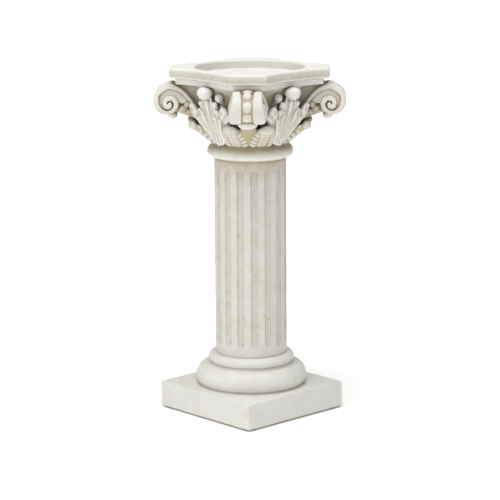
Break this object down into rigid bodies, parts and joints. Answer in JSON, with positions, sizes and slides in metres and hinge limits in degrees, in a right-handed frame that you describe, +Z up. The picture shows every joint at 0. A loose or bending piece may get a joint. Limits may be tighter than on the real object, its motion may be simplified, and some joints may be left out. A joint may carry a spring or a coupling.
{
  "type": "roman column pedestal",
  "caption": "Free-standing fluted column pedestal with a square plinth, a leaf-carved capital with corner scrolls, and a round well in its top slab.",
  "frame": {"origin": "on the floor, under the middle of the plinth, level with the undersides of the four feet", "axes": "+Z up along the column; X and Y along the plinth's sides, so the corners and volutes lie on the diagonals"},
  "size_m": [0.265, 0.265, 0.6096],
  "materials": {
    "cast_stone": "matt cast resin stone, off-white with a tan-brown wash in the recesses",
    "foot_rubber": "matt black rubber"
  },
  "bodies": {
    "root": {"column": "cast_stone", "foot_front": "foot_rubber", "foot_right": "foot_rubber", "foot_back": "foot_rubber", "foot_left": "foot_rubber"}
  },
  "joints": []
}
